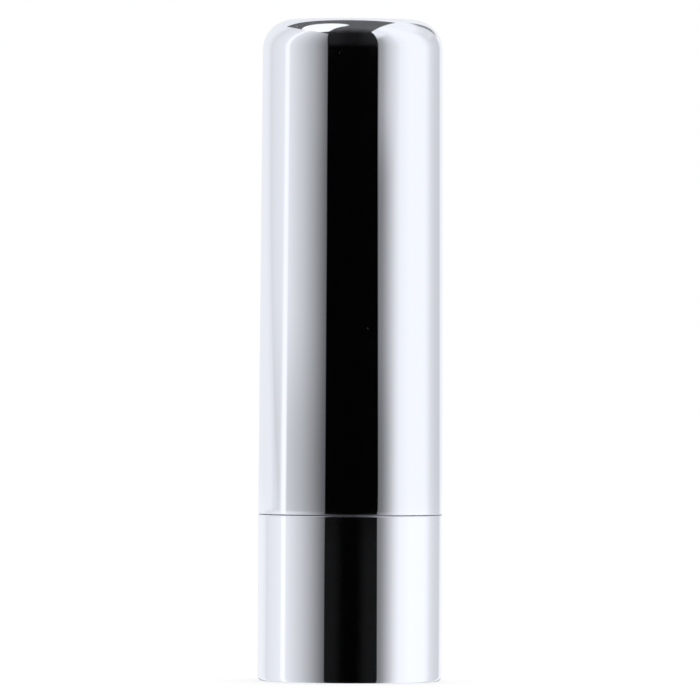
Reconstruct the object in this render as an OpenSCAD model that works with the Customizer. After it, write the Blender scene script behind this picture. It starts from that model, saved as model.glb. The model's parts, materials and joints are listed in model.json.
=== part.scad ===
// Twist-up lip colour case: a mirror-finished cap and base round a mechanism with a 12.1 mm cup.
// Millimetres, +Z up, origin at the centre of the foot that the case stands on.
// Radii are worked out from the outside inwards, wall by wall and fit by fit, and heights from the foot upwards.

/* [Case] */
// Outside diameter of the base and of the cap's mouth
case_d = 19; // [17:0.1:26]
// Height of the closed case
case_h = 68; // [56:0.5:90]
// Height of the seam between base and cap
base_h = 17.1; // [13:0.1:26]
// How much smaller the cap's radius is at its shoulder than at its mouth
cap_draft = 0.25; // [0:0.05:0.4]
// Rounding of the cap's top edge
cap_top_r = 3.1; // [1.5:0.1:4]
// Rounding of the edge that the base stands on
base_edge_r = 0.55; // [0.2:0.05:1]
// Gap between base and cap at the seam
seam_gap = 0.05; // [0.03:0.01:0.4]
// Rounding of the two edges at the seam
seam_edge_r = 0.12; // [0.05:0.01:0.3]
// Height of the straight land at the cap's mouth, below its draft
cap_land = 0.5; // [0.4:0.1:2]

/* [Walls] */
// Side wall of the base shell
base_wall = 0.84; // [0.5:0.02:1.2]
// Floor of the base shell
base_floor_t = 1.2; // [0.8:0.1:2]
// Top of the cap shell
cap_top_t = 1.2; // [0.8:0.1:2]
// Side wall of the cap liner
liner_wall = 0.4; // [0.3:0.02:0.5]
// Top of the cap liner
liner_top_t = 0.75; // [0.4:0.05:1.5]
// Neck wall of the base insert
insert_wall = 0.48; // [0.35:0.01:0.8]
// Skirt wall of the base insert, round the weight
skirt_wall = 0.55; // [0.4:0.05:1]
// Floor of the base insert
insert_floor_t = 0.8; // [0.5:0.1:1.5]
// Sheet thickness of the outer sleeve
sleeve_wall = 0.25; // [0.15:0.01:0.4]
// Wall of the spiral sleeve
spiral_wall = 0.65; // [0.5:0.01:0.9]
// Wall of the slotted tube
tube_wall = 0.5; // [0.35:0.01:0.8]
// Wall of the cup
cup_wall = 0.45; // [0.3:0.01:0.8]

/* [Base] */
// Radius of the label recess under the base
recess_r = 7; // [4:0.1:7.5]
// Depth of the label recess
recess_depth = 0.3; // [0.2:0.05:0.5]
// Thickness of the label
label_t = 0.12; // [0.05:0.01:0.15]
// Height of the steel weight
weight_h = 3; // [1:0.1:4]
// Height of the insert's neck above the seam
neck_h = 4; // [2:0.5:8]
// Step between the insert's socket and its neck bore
socket_step = 0.2; // [0.1:0.05:0.3]

/* [Mechanism] */
// Height of the slotted tube's foot, held in the insert's socket
foot_h = 4; // [2:0.5:6]
// Height of the ribs round the foot
knurl_h = 0.1; // [0.05:0.01:0.2]
// Number of ribs round the foot
knurl_count = 24; // [12:2:36]
// Cord thickness of the friction ring
ring_cord = 0.7; // [0.4:0.05:1]
// Diameter of the cup's lugs
lug_d = 1.7; // [1.2:0.1:2.2]
// Depth of the spiral groove in its sleeve
groove_depth = 0.38; // [0.25:0.01:0.45]
// Rise of the spiral groove in one turn
lead = 18; // [12:0.5:30]
// Height of the cup
cup_h = 10.6; // [8:0.1:14]
// Thickness of the cup's floor
cup_floor_t = 0.8; // [0.5:0.1:1.5]
// Height of the lug's centre above the cup's lower edge
lug_up = 1.4; // [1.2:0.1:2]
// Number of ribs in the cup that grip the bullet
cup_rib_count = 6; // [3:1:8]
// Radius of the cup's ribs
cup_rib_r = 0.25; // [0.15:0.05:0.4]
// Slope of the bullet's slanted face
bullet_slant = 50; // [30:1:60]
// How far the slanted face starts inside the bullet's edge
bullet_flat = 1; // [0.2:0.1:3]

/* [Fits] */
// Radial gap between pieces that are glued or pressed together
glue_gap = 0.02; // [0.01:0.01:0.04]
// Radial gap between pieces that turn or slide on each other
run_gap = 0.08; // [0.03:0.01:0.1]
// Radial gap between the cap's bore and the neck
cap_gap = 0.06; // [0.02:0.01:0.1]
// End play of the turning sleeve
end_gap = 0.05; // [0.03:0.01:0.1]
// Gap all round a lug in its slot and its groove
lug_gap = 0.15; // [0.1:0.01:0.2]
// Room between the raised bullet and the liner's ceiling
tip_room = 1.8; // [1:0.1:4]

/* [Hidden] */
$fn = 96;
over = 0.05;      // how far a cut reaches past the face it opens
fillet_fn = 48;

// Radii, from the outside inwards
case_r = case_d / 2;
base_bore_r = case_r - base_wall;
insert_r = base_bore_r - glue_gap;
neck_bore_r = insert_r - insert_wall;
socket_r = neck_bore_r - socket_step;
skirt_bore_r = insert_r - skirt_wall;
weight_r = skirt_bore_r - glue_gap;
sleeve_r = neck_bore_r - run_gap;
sleeve_bore_r = sleeve_r - sleeve_wall;
spiral_r = sleeve_bore_r - glue_gap;
spiral_bore_r = spiral_r - spiral_wall;
groove_r = spiral_bore_r + groove_depth;
tube_r = spiral_bore_r - run_gap;
tube_bore_r = tube_r - tube_wall;
cup_r = tube_bore_r - run_gap;
cup_bore_r = cup_r - cup_wall;
bullet_r = cup_bore_r - glue_gap;
cap_bore_r = insert_r + cap_gap;
liner_r = cap_bore_r - glue_gap;
liner_bore_r = liner_r - liner_wall;

// The cap's shoulder: its side is the tangent from the land to the top fillet
shoulder_r = case_r - cap_draft;
fillet_x = shoulder_r - cap_top_r;
fillet_z = case_h - cap_top_r;

// Heights of the base, from the foot upwards
base_top = base_h - seam_gap / 2;
cap_bottom = base_h + seam_gap / 2;
neck_top = base_h + neck_h;
weight_top = base_floor_t + weight_h;
insert_floor_top = weight_top + insert_floor_t;
foot_top = insert_floor_top + foot_h;
ring_z = foot_top + 0.4 + ring_cord / 2;
ring_groove_h = ring_cord + 0.1;
tube_floor_top = ring_z + ring_groove_h / 2 + 0.45;

// Heights of the cap, from the top downwards
cap_hollow_top = case_h - cap_top_t;
liner_top = cap_hollow_top - 0.05;
liner_ceiling = liner_top - liner_top_t;
liner_bottom = neck_top + 0.3;
cap_hollow_fillet = cap_top_r - 0.6;

// Heights of the mechanism: the raised bullet reaches just under the liner's ceiling and the lowered one just
// under the sleeve's top, while the raised cup's rim comes level with the sleeve's top
tip_below_sleeve = 0.6;
rim_below_sleeve = 0.1;
cup_bottom = tube_floor_top + 0.3;
tip_raised = liner_ceiling - tip_room;
sleeve_top = (cup_bottom + cup_h + tip_raised + tip_below_sleeve + rim_below_sleeve) / 2;
tip_z = sleeve_top - tip_below_sleeve;
travel = tip_raised - tip_z;
cup_rim = cup_bottom + cup_h;
lug_z = cup_bottom + lug_up;
cup_floor_top = lug_z + 0.7;
slot_w = lug_d + 2 * lug_gap;
sleeve_bottom = foot_top + 0.2;
spiral_bottom = foot_top + end_gap;
spiral_top = sleeve_top - 1.2;
tube_lip_bottom = spiral_top + end_gap;
tube_top = sleeve_top - 0.4;
tube_lip_r = groove_r + 0.06;
curl_bore_r = cup_r + 0.25;
curl_r = 0.4;

// The groove is a square-sided ribbon whose height makes its true width fit the lug
groove_in_r = spiral_bore_r - 0.25;
groove_mid_r = (spiral_bore_r + groove_r) / 2;
groove_angle = atan(lead / (2 * PI * groove_mid_r));
groove_half_h = slot_w / 2 / cos(groove_angle);
groove_end = 8.5;
groove_step = 10;
groove_turn = 360 * travel / lead;
groove_steps = ceil((groove_turn + 2 * groove_end) / groove_step);

// The lug's end face is flat, so its rim reaches furthest out: it stays clear of the groove's floor
lug_rim_r = groove_r * cos(groove_step / 2) - run_gap;
lug_tip_r = sqrt(pow(lug_rim_r, 2) - pow(lug_d / 2, 2));

// The friction ring fills the space between its groove's floor and the spiral sleeve
ring_groove_r = spiral_bore_r - 2 * glue_gap - ring_cord;

// Half-section of a ring from radius r0 to r1 and from height z0 to z1
module band(r0, r1, z0, z1) {
    translate([r0, z0]) square([r1 - r0, z1 - z0]);
}

// What rounding the corner at [x, z] takes away: sx and sz are 1 or -1 and point from the corner into the piece
module corner_cut(x, z, r, sx, sz) {
    difference() {
        translate([sx < 0 ? x - r : x - over, sz < 0 ? z - r : z - over]) square(r + over);
        translate([x + sx * r, z + sz * r]) circle(r, $fn = fillet_fn);
    }
}

// What a 45 degree lead-in at the mouth of a bore takes away
module lead_in_cut(r, z, size) {
    polygon([[r - over, z - over], [r + size + over, z - over], [r - over, z + size + over]]);
}

// Half-section of a closed space or body whose top corner is rounded
module capped_band(r, z0, z1, corner) {
    difference() {
        band(0, r, z0, z1);
        corner_cut(r, z1, corner, -1, -1);
    }
}

// A bar along X with round ends that cuts both slots of the slotted tube at once
module slot_bar(z0, z1, w, length) {
    translate([-length / 2, -w / 2, z0 + w / 2]) cube([length, w, z1 - z0 - w]);
    for (z = [z0 + w / 2, z1 - w / 2])
        translate([0, 0, z]) rotate([0, 90, 0]) cylinder(h = length, d = w, center = true);
}

// One groove of the spiral: a ribbon swept up a right-handed helix past both ends of the lug's travel
module groove() {
    section = [
        [groove_in_r, -groove_half_h], [groove_r, -groove_half_h],
        [groove_r, groove_half_h], [groove_in_r, groove_half_h]
    ];
    function ring_angle(i) = -groove_end + i * (groove_turn + 2 * groove_end) / groove_steps;
    points = [
        for (i = [0 : groove_steps], p = section)
            let (a = ring_angle(i)) [p[0] * cos(a), p[0] * sin(a), lug_z + lead * a / 360 + p[1]]
    ];
    last = 4 * groove_steps;
    sides = [
        for (i = [0 : groove_steps - 1], j = [0 : 3], half = [0, 1])
            let (a = 4 * i + j, b = 4 * i + (j + 1) % 4)
                half == 0 ? [a, b, b + 4] : [a, b + 4, a + 4]
    ];
    polyhedron(points, concat(sides, [[3, 2, 1, 0], [last, last + 1, last + 2, last + 3]]));
}

// Upright ribs spaced evenly round a circle
module ribs(count, r, rib_r, z0, z1) {
    for (i = [0 : count - 1])
        rotate([0, 0, i * 360 / count]) translate([r, 0, z0]) cylinder(h = z1 - z0, r = rib_r, $fn = 24);
}

module base_shell() {
    color("silver") rotate_extrude() difference() {
        band(0, case_r, 0, base_top);
        band(0, base_bore_r, base_floor_t, base_top + over);
        band(0, recess_r, -over, recess_depth);
        corner_cut(case_r, 0, base_edge_r, -1, 1);
        corner_cut(case_r, base_top, seam_edge_r, -1, -1);
    }
}

module shade_label() {
    color("whitesmoke") translate([0, 0, recess_depth - label_t])
        cylinder(h = label_t, r = recess_r - 0.1);
}

module base_weight() {
    chamfer = 0.3;
    color("dimgray") rotate_extrude() polygon([
        [0, base_floor_t], [weight_r - chamfer, base_floor_t], [weight_r, base_floor_t + chamfer],
        [weight_r, weight_top - chamfer], [weight_r - chamfer, weight_top], [0, weight_top]
    ]);
}

module base_insert() {
    glue_groove = 0.12;
    color("gainsboro") rotate_extrude() difference() {
        union() {
            band(skirt_bore_r, insert_r, base_floor_t, insert_floor_top);
            band(0, insert_r, weight_top, insert_floor_top);
            band(socket_r, insert_r, weight_top, foot_top);
            band(neck_bore_r, insert_r, insert_floor_top, neck_top);
        }
        // grooves that keep the glue in place
        for (z = [0.4, 0.7] * base_h) band(insert_r - glue_groove, insert_r + over, z, z + 1);
        corner_cut(insert_r, neck_top, insert_wall / 2, -1, -1);
    }
}

module slotted_tube() {
    core_r = socket_r - glue_gap - knurl_h;
    hollow_r = tube_bore_r - 1;
    color("white") difference() {
        union() {
            rotate_extrude() difference() {
                union() {
                    band(0, core_r, insert_floor_top, foot_top);
                    band(0, tube_r, insert_floor_top, tube_floor_top);
                    band(tube_bore_r, tube_r, tube_floor_top - over, tube_top);
                    band(tube_bore_r, tube_lip_r, tube_lip_bottom, tube_top);
                }
                band(0, hollow_r, insert_floor_top - over, foot_top);
                band(ring_groove_r, tube_r + over, ring_z - ring_groove_h / 2, ring_z + ring_groove_h / 2);
                corner_cut(tube_lip_r, tube_top, 0.3, -1, -1);
            }
            // ribs that grip the insert's socket
            ribs(knurl_count, core_r - knurl_h, 2 * knurl_h, insert_floor_top + 0.5, foot_top - 0.5);
        }
        slot_bar(lug_z - slot_w / 2, lug_z + travel + slot_w / 2, slot_w, 2 * tube_r + 1);
    }
}

module friction_ring() {
    color("dimgray") rotate_extrude() translate([ring_groove_r + glue_gap + ring_cord / 2, ring_z])
        circle(d = ring_cord, $fn = fillet_fn);
}

module spiral_sleeve() {
    color("snow") difference() {
        rotate_extrude() difference() {
            band(spiral_bore_r, spiral_r, spiral_bottom, spiral_top);
            lead_in_cut(spiral_bore_r, spiral_bottom, 0.25);
        }
        for (start = [0, 180]) rotate([0, 0, start]) groove();
    }
}

module outer_sleeve() {
    color("lightgray") rotate_extrude() difference() {
        union() {
            band(sleeve_bore_r, sleeve_r, sleeve_bottom, sleeve_top);
            band(curl_bore_r, sleeve_r, sleeve_top - sleeve_wall, sleeve_top);
        }
        corner_cut(sleeve_r, sleeve_top, curl_r - sleeve_wall / 2, -1, -1);
    }
}

module cup() {
    color("whitesmoke") {
        rotate_extrude() difference() {
            band(0, cup_r, cup_bottom, cup_rim);
            band(0, cup_bore_r, cup_floor_top, cup_rim + over);
            band(0, cup_bore_r - 0.2, cup_bottom - over, cup_floor_top - cup_floor_t);
            corner_cut(cup_r, cup_rim, cup_wall / 3, -1, -1);
            corner_cut(cup_r, cup_bottom, cup_wall / 3, -1, 1);
        }
        // lugs that pass through the slots into the spiral groove
        for (side = [0, 180])
            rotate([0, 0, side]) translate([cup_r - cup_wall / 2, 0, lug_z]) rotate([0, 90, 0])
                cylinder(h = lug_tip_r - cup_r + cup_wall / 2, d = lug_d);
        ribs(cup_rib_count, cup_bore_r, cup_rib_r, cup_floor_top - over, cup_rim - 1.5);
    }
}

module lipstick_bullet() {
    reach = 4 * case_d;
    color("firebrick") difference() {
        translate([0, 0, cup_floor_top]) cylinder(h = tip_z - cup_floor_top, r = bullet_r);
        translate([0, bullet_r - bullet_flat, tip_z]) rotate([bullet_slant, 0, 0])
            translate([-reach / 2, -reach, 0]) cube([reach, 2 * reach, reach]);
        ribs(cup_rib_count, cup_bore_r, cup_rib_r + glue_gap, cup_floor_top - over, cup_rim - 1.5 + glue_gap);
    }
}

module cap_shell() {
    land_top = cap_bottom + cap_land;
    run = fillet_z - land_top;
    slope = atan((case_r - fillet_x) / run) - asin(cap_top_r / norm([case_r - fillet_x, run]));
    color("silver") rotate_extrude() difference() {
        union() {
            polygon([
                [0, cap_bottom], [case_r, cap_bottom], [case_r, land_top],
                [fillet_x + cap_top_r * cos(slope), fillet_z + cap_top_r * sin(slope)],
                [fillet_x, fillet_z], [fillet_x, case_h], [0, case_h]
            ]);
            translate([fillet_x, fillet_z]) circle(cap_top_r);
        }
        capped_band(cap_bore_r, cap_bottom - over, cap_hollow_top, cap_hollow_fillet);
        corner_cut(case_r, cap_bottom, seam_edge_r, -1, 1);
        lead_in_cut(cap_bore_r, cap_bottom, 0.2);
    }
}

module cap_liner() {
    outer_fillet = cap_hollow_fillet - glue_gap;
    rib_r = 0.3;
    color("white") {
        rotate_extrude() difference() {
            capped_band(liner_r, liner_bottom, liner_top, outer_fillet);
            capped_band(liner_bore_r, liner_bottom - over, liner_ceiling, outer_fillet - liner_wall);
            lead_in_cut(liner_bore_r, liner_bottom, 0.2);
        }
        // ribs that hold the cap on the sleeve
        intersection() {
            ribs(6, sleeve_r + run_gap + rib_r, rib_r, liner_bottom + 1, liner_bottom + 9);
            cylinder(h = case_h, r = liner_bore_r + liner_wall / 2);
        }
    }
}

base_shell();
shade_label();
base_weight();
base_insert();
slotted_tube();
friction_ring();
spiral_sleeve();
outer_sleeve();
cup();
lipstick_bullet();
cap_shell();
cap_liner();
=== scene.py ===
"""Looks of a closed twist-up lipstick case: two mirror shells, the mechanism inside them and a tent of light.

Sizes in the classes are millimetres, as on a maker's drawing, and MM turns them into the frame's metres. Heights
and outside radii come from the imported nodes, and walls, roundings and fits from the part's own sizes.
"""

import json
import logging
import math
from dataclasses import dataclass
from enum import Enum
from typing import Any, Iterable, Mapping, Optional, Sequence, Union

import bmesh
import bpy
from mathutils import Matrix, Vector

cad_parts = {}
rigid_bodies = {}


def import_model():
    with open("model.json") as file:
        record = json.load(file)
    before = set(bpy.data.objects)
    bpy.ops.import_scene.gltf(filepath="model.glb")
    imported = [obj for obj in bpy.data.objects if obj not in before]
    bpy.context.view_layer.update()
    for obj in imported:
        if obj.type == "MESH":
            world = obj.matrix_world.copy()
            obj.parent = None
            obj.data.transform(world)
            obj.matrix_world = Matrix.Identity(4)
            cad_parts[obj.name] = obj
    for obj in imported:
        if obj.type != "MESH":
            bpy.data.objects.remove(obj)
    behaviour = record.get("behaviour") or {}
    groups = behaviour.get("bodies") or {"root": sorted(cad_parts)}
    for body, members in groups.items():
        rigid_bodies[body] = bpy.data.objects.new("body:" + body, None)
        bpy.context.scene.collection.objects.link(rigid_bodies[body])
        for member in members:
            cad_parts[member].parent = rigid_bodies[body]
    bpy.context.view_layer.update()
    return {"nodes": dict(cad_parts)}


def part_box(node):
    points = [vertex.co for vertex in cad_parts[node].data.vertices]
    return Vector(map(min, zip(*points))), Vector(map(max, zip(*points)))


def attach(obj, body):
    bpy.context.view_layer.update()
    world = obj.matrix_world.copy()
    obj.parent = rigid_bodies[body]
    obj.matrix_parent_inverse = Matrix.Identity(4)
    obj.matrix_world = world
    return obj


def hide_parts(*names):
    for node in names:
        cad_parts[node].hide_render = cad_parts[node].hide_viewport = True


log = logging.getLogger("lipstick_case")

MM = 0.001
DEGREES = 180 / math.pi
Point = tuple[float, float]
Fade = tuple[float, float]
Line = tuple[float, float, float]
Colour = tuple[float, float, float]
Stretch = tuple[float, float, float]
Operand = Union["Value", float, int]
Sockets = Mapping[Union[str, int], Any]


# Node building --------------------


class Value:
    """A socket that carries a number or a vector, with Python's operators adding the Math nodes."""

    def __init__(self, graph: "Graph", socket: bpy.types.NodeSocket) -> None:
        """Wraps a socket of a graph."""
        self.graph = graph
        self.socket = socket

    def maths(self, operation: str, *others: Operand) -> "Value":
        """The result of a new Math node whose first input is this value."""
        return self.graph.maths(operation, self, *others)

    def __add__(self, other: Operand) -> "Value":
        """This plus other."""
        return self.maths("ADD", other)

    def __sub__(self, other: Operand) -> "Value":
        """This minus other."""
        return self.maths("SUBTRACT", other)

    def __rsub__(self, other: Operand) -> "Value":
        """Other minus this."""
        return self.graph.maths("SUBTRACT", other, self)

    def __mul__(self, other: Operand) -> "Value":
        """This times other."""
        return self.maths("MULTIPLY", other)

    def __truediv__(self, other: Operand) -> "Value":
        """This over other."""
        return self.maths("DIVIDE", other)

    def __pow__(self, other: Operand) -> "Value":
        """This to the power of other."""
        return self.maths("POWER", other)

    def __neg__(self) -> "Value":
        """Minus this."""
        return self.maths("MULTIPLY", -1.0)

    def __abs__(self) -> "Value":
        """This without its sign."""
        return self.maths("ABSOLUTE")

    __radd__ = __add__
    __rmul__ = __mul__


class Graph:
    """A node tree under construction, for a finish, a world or a shape."""

    def __init__(self, tree: bpy.types.NodeTree) -> None:
        """Starts from the tree's nodes as they are."""
        self.tree = tree

    def node(
        self, kind: str, settings: Optional[Mapping[str, Any]] = None, inputs: Optional[Sockets] = None,
    ) -> bpy.types.Node:
        """Adds any node.

        Args:
            kind: the node's type.
            settings: its own properties, set first.
            inputs: numbers, vectors, materials or Values for its sockets, by name or index.

        Returns:
            The new node.
        """
        made = self.tree.nodes.new(kind)
        for name, setting in (settings or {}).items():
            setattr(made, name, setting)
        self.feed(made, inputs or {})
        return made

    def feed(self, node: bpy.types.Node, inputs: Sockets) -> None:
        """Gives a node what goes into it.

        Args:
            node: the node.
            inputs: numbers, vectors, materials or Values for its sockets, by name or index.
        """
        for key, given in inputs.items():
            socket = self.socket(node.inputs, key)
            if isinstance(given, Value):
                self.tree.links.new(given.socket, socket)
            else:
                socket.default_value = given

    @staticmethod
    def socket(sockets: Any, key: Union[str, int]) -> bpy.types.NodeSocket:
        """A node's socket, by its index or by the name of one that is in use."""
        return sockets[key] if isinstance(key, int) else next(s for s in sockets if s.name == key and s.enabled)

    def out(self, made: bpy.types.Node, key: Union[str, int] = 0) -> Value:
        """A node's output as a Value."""
        return Value(self, self.socket(made.outputs, key))

    def maths(self, operation: str, *operands: Operand) -> Value:
        """The result of a new Math node, with its inputs in order."""
        return self.out(self.node("ShaderNodeMath", {"operation": operation}, dict(enumerate(operands))))

    def vector_maths(self, operation: str, inputs: Sockets) -> Value:
        """The result of a new Vector Math node, with its inputs by name or index."""
        return self.out(self.node("ShaderNodeVectorMath", {"operation": operation}, inputs))

    def ease(self, value: Value, low: float, high: float) -> Value:
        """Eases from 0 to 1.

        Args:
            value: what is compared.
            low: where the result is still 0; it may be above high.
            high: where the result is 1.

        Returns:
            A smooth step from 0 to 1.
        """
        return self.out(self.node(
            "ShaderNodeMapRange", {"interpolation_type": "SMOOTHSTEP"},
            {"Value": value, "From Min": low, "From Max": high, "To Min": 0.0, "To Max": 1.0},
        ))

    def mix(self, share: Operand, first: Any, second: Any) -> Value:
        """Two colours or Values mixed, with that share of the second."""
        inputs = {0: share, 6: self.rgba(first), 7: self.rgba(second)}
        return self.out(self.node("ShaderNodeMix", {"data_type": "RGBA"}, inputs), 2)

    def ramp(self, place: Value, stops: Sequence[Point]) -> Value:
        """Adds a grey ramp.

        Args:
            place: where it is read, from 0 to 1.
            stops: places in rising order, each with its grey.

        Returns:
            The grey.
        """
        made = self.node("ShaderNodeValToRGB", None, {0: place})
        elements = made.color_ramp.elements
        while len(elements) < len(stops):
            elements.new(1.0)
        for element, (at, grey) in zip(elements, stops):
            element.position, element.color = at, (grey, grey, grey, 1.0)
        return self.split(self.out(made))[0]

    @staticmethod
    def rgba(colour: Any) -> Any:
        """A colour with the alpha that a colour socket wants; a Value stays as it is."""
        return colour if isinstance(colour, Value) else (*colour[:3], 1.0)

    def split(self, vector: Value) -> tuple[Value, Value, Value]:
        """The three parts of a vector."""
        made = self.node("ShaderNodeSeparateXYZ", None, {0: vector})
        return self.out(made, 0), self.out(made, 1), self.out(made, 2)

    def join(self, x: Operand, y: Operand, z: Operand) -> Value:
        """A vector of three numbers."""
        return self.out(self.node("ShaderNodeCombineXYZ", None, {0: x, 1: y, 2: z}))

    def noise(self, place: Value, scale: float, detail: float = 2.0, roughness: float = 0.5) -> Value:
        """Adds a noise.

        Args:
            place: where it is read.
            scale: how many lumps there are in one unit.
            detail: how many finer layers it has.
            roughness: how strong those are.

        Returns:
            Its value, about 0.5 in the mean.
        """
        return self.out(self.node(
            "ShaderNodeTexNoise", {"noise_dimensions": "3D"},
            {"Vector": place, "Scale": scale, "Detail": detail, "Roughness": roughness},
        ))


# Shape building --------------------


@dataclass(frozen=True)
class Corner:
    """A corner of a turned outline: its radius from the axis, its height and its rounding."""

    r: float
    z: float
    rounding: float = 0.0


@dataclass(frozen=True)
class RibRing:
    """Upright ribs spaced evenly round the axis."""

    count: int = 0
    ring_r: float = 8.0
    half_width: float = 0.3
    half_depth: float = 0.2
    bottom: float = 0.0
    top: float = 1.0


class Outline:
    """The half section of a turned piece, drawn corner by corner round the metal or plastic."""

    support = 0.04

    def __init__(self, step: float = 3.0) -> None:
        """Starts an empty outline whose arcs are drawn in steps of that many degrees."""
        self.step = step
        self.points: list[Point] = []

    def arc(self, centre: Point, radius: float, start: float, end: float) -> "Outline":
        """Adds an arc.

        Args:
            centre: its centre, as radius and height.
            radius: its radius.
            start: the direction of its first point from the centre, in degrees from straight outwards.
            end: the direction of its last point.

        Returns:
            This outline.
        """
        steps = max(3, math.ceil(abs(end - start) / self.step))
        for i in range(steps + 1):
            a = math.radians(start + (end - start) * i / steps)
            self.points.append((centre[0] + radius * math.cos(a), centre[1] + radius * math.sin(a)))
        return self

    def path(self, corners: Sequence[Corner], ring: bool = False) -> "Outline":
        """Adds straight runs with rounded corners, and a close row beside each rounding that keeps its shading local.

        Args:
            corners: the corners in order.
            ring: whether the last corner runs back to the first, as on a piece that doesn't reach the axis.

        Returns:
            This outline.
        """
        count = len(corners)
        for i, corner in enumerate(corners):
            if not ring and i in (0, count - 1) or corner.rounding == 0:
                self.points.append((corner.r, corner.z))
                continue
            before, after = corners[i - 1], corners[(i + 1) % count]
            self.points.extend(self._rounded(before, corner, after))
        if ring:
            self.points.append(self.points[0])
        return self

    def _rounded(self, before: Corner, corner: Corner, after: Corner) -> list[Point]:
        """Rounds one corner.

        Args:
            before: the corner before it.
            corner: the corner.
            after: the corner after it.

        Returns:
            The points of its arc and the close row on either side.
        """
        tip = Vector((corner.r, corner.z))
        back, ahead = Vector((before.r, before.z)) - tip, Vector((after.r, after.z)) - tip
        room = min(back.length, ahead.length)
        back.normalize()
        ahead.normalize()
        half = back.angle(ahead) / 2
        reach = min(corner.rounding / math.tan(half), 0.9 * room)
        radius = reach * math.tan(half)
        centre = tip + (back + ahead).normalized() * (radius / math.sin(half))
        start, end = tip + back * reach - centre, tip + ahead * reach - centre
        turn = math.atan2(start.x * end.y - start.y * end.x, start.dot(end))
        steps = max(3, math.ceil(math.degrees(abs(turn)) / self.step))
        support = min(self.support, 0.3 * (room - reach))
        points = [tip + back * (reach + support)]
        for i in range(steps + 1):
            points.append(centre + Matrix.Rotation(turn * i / steps, 2) @ start)
        points.append(tip + ahead * (reach + support))
        return [(p.x, p.y) for p in points]


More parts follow.
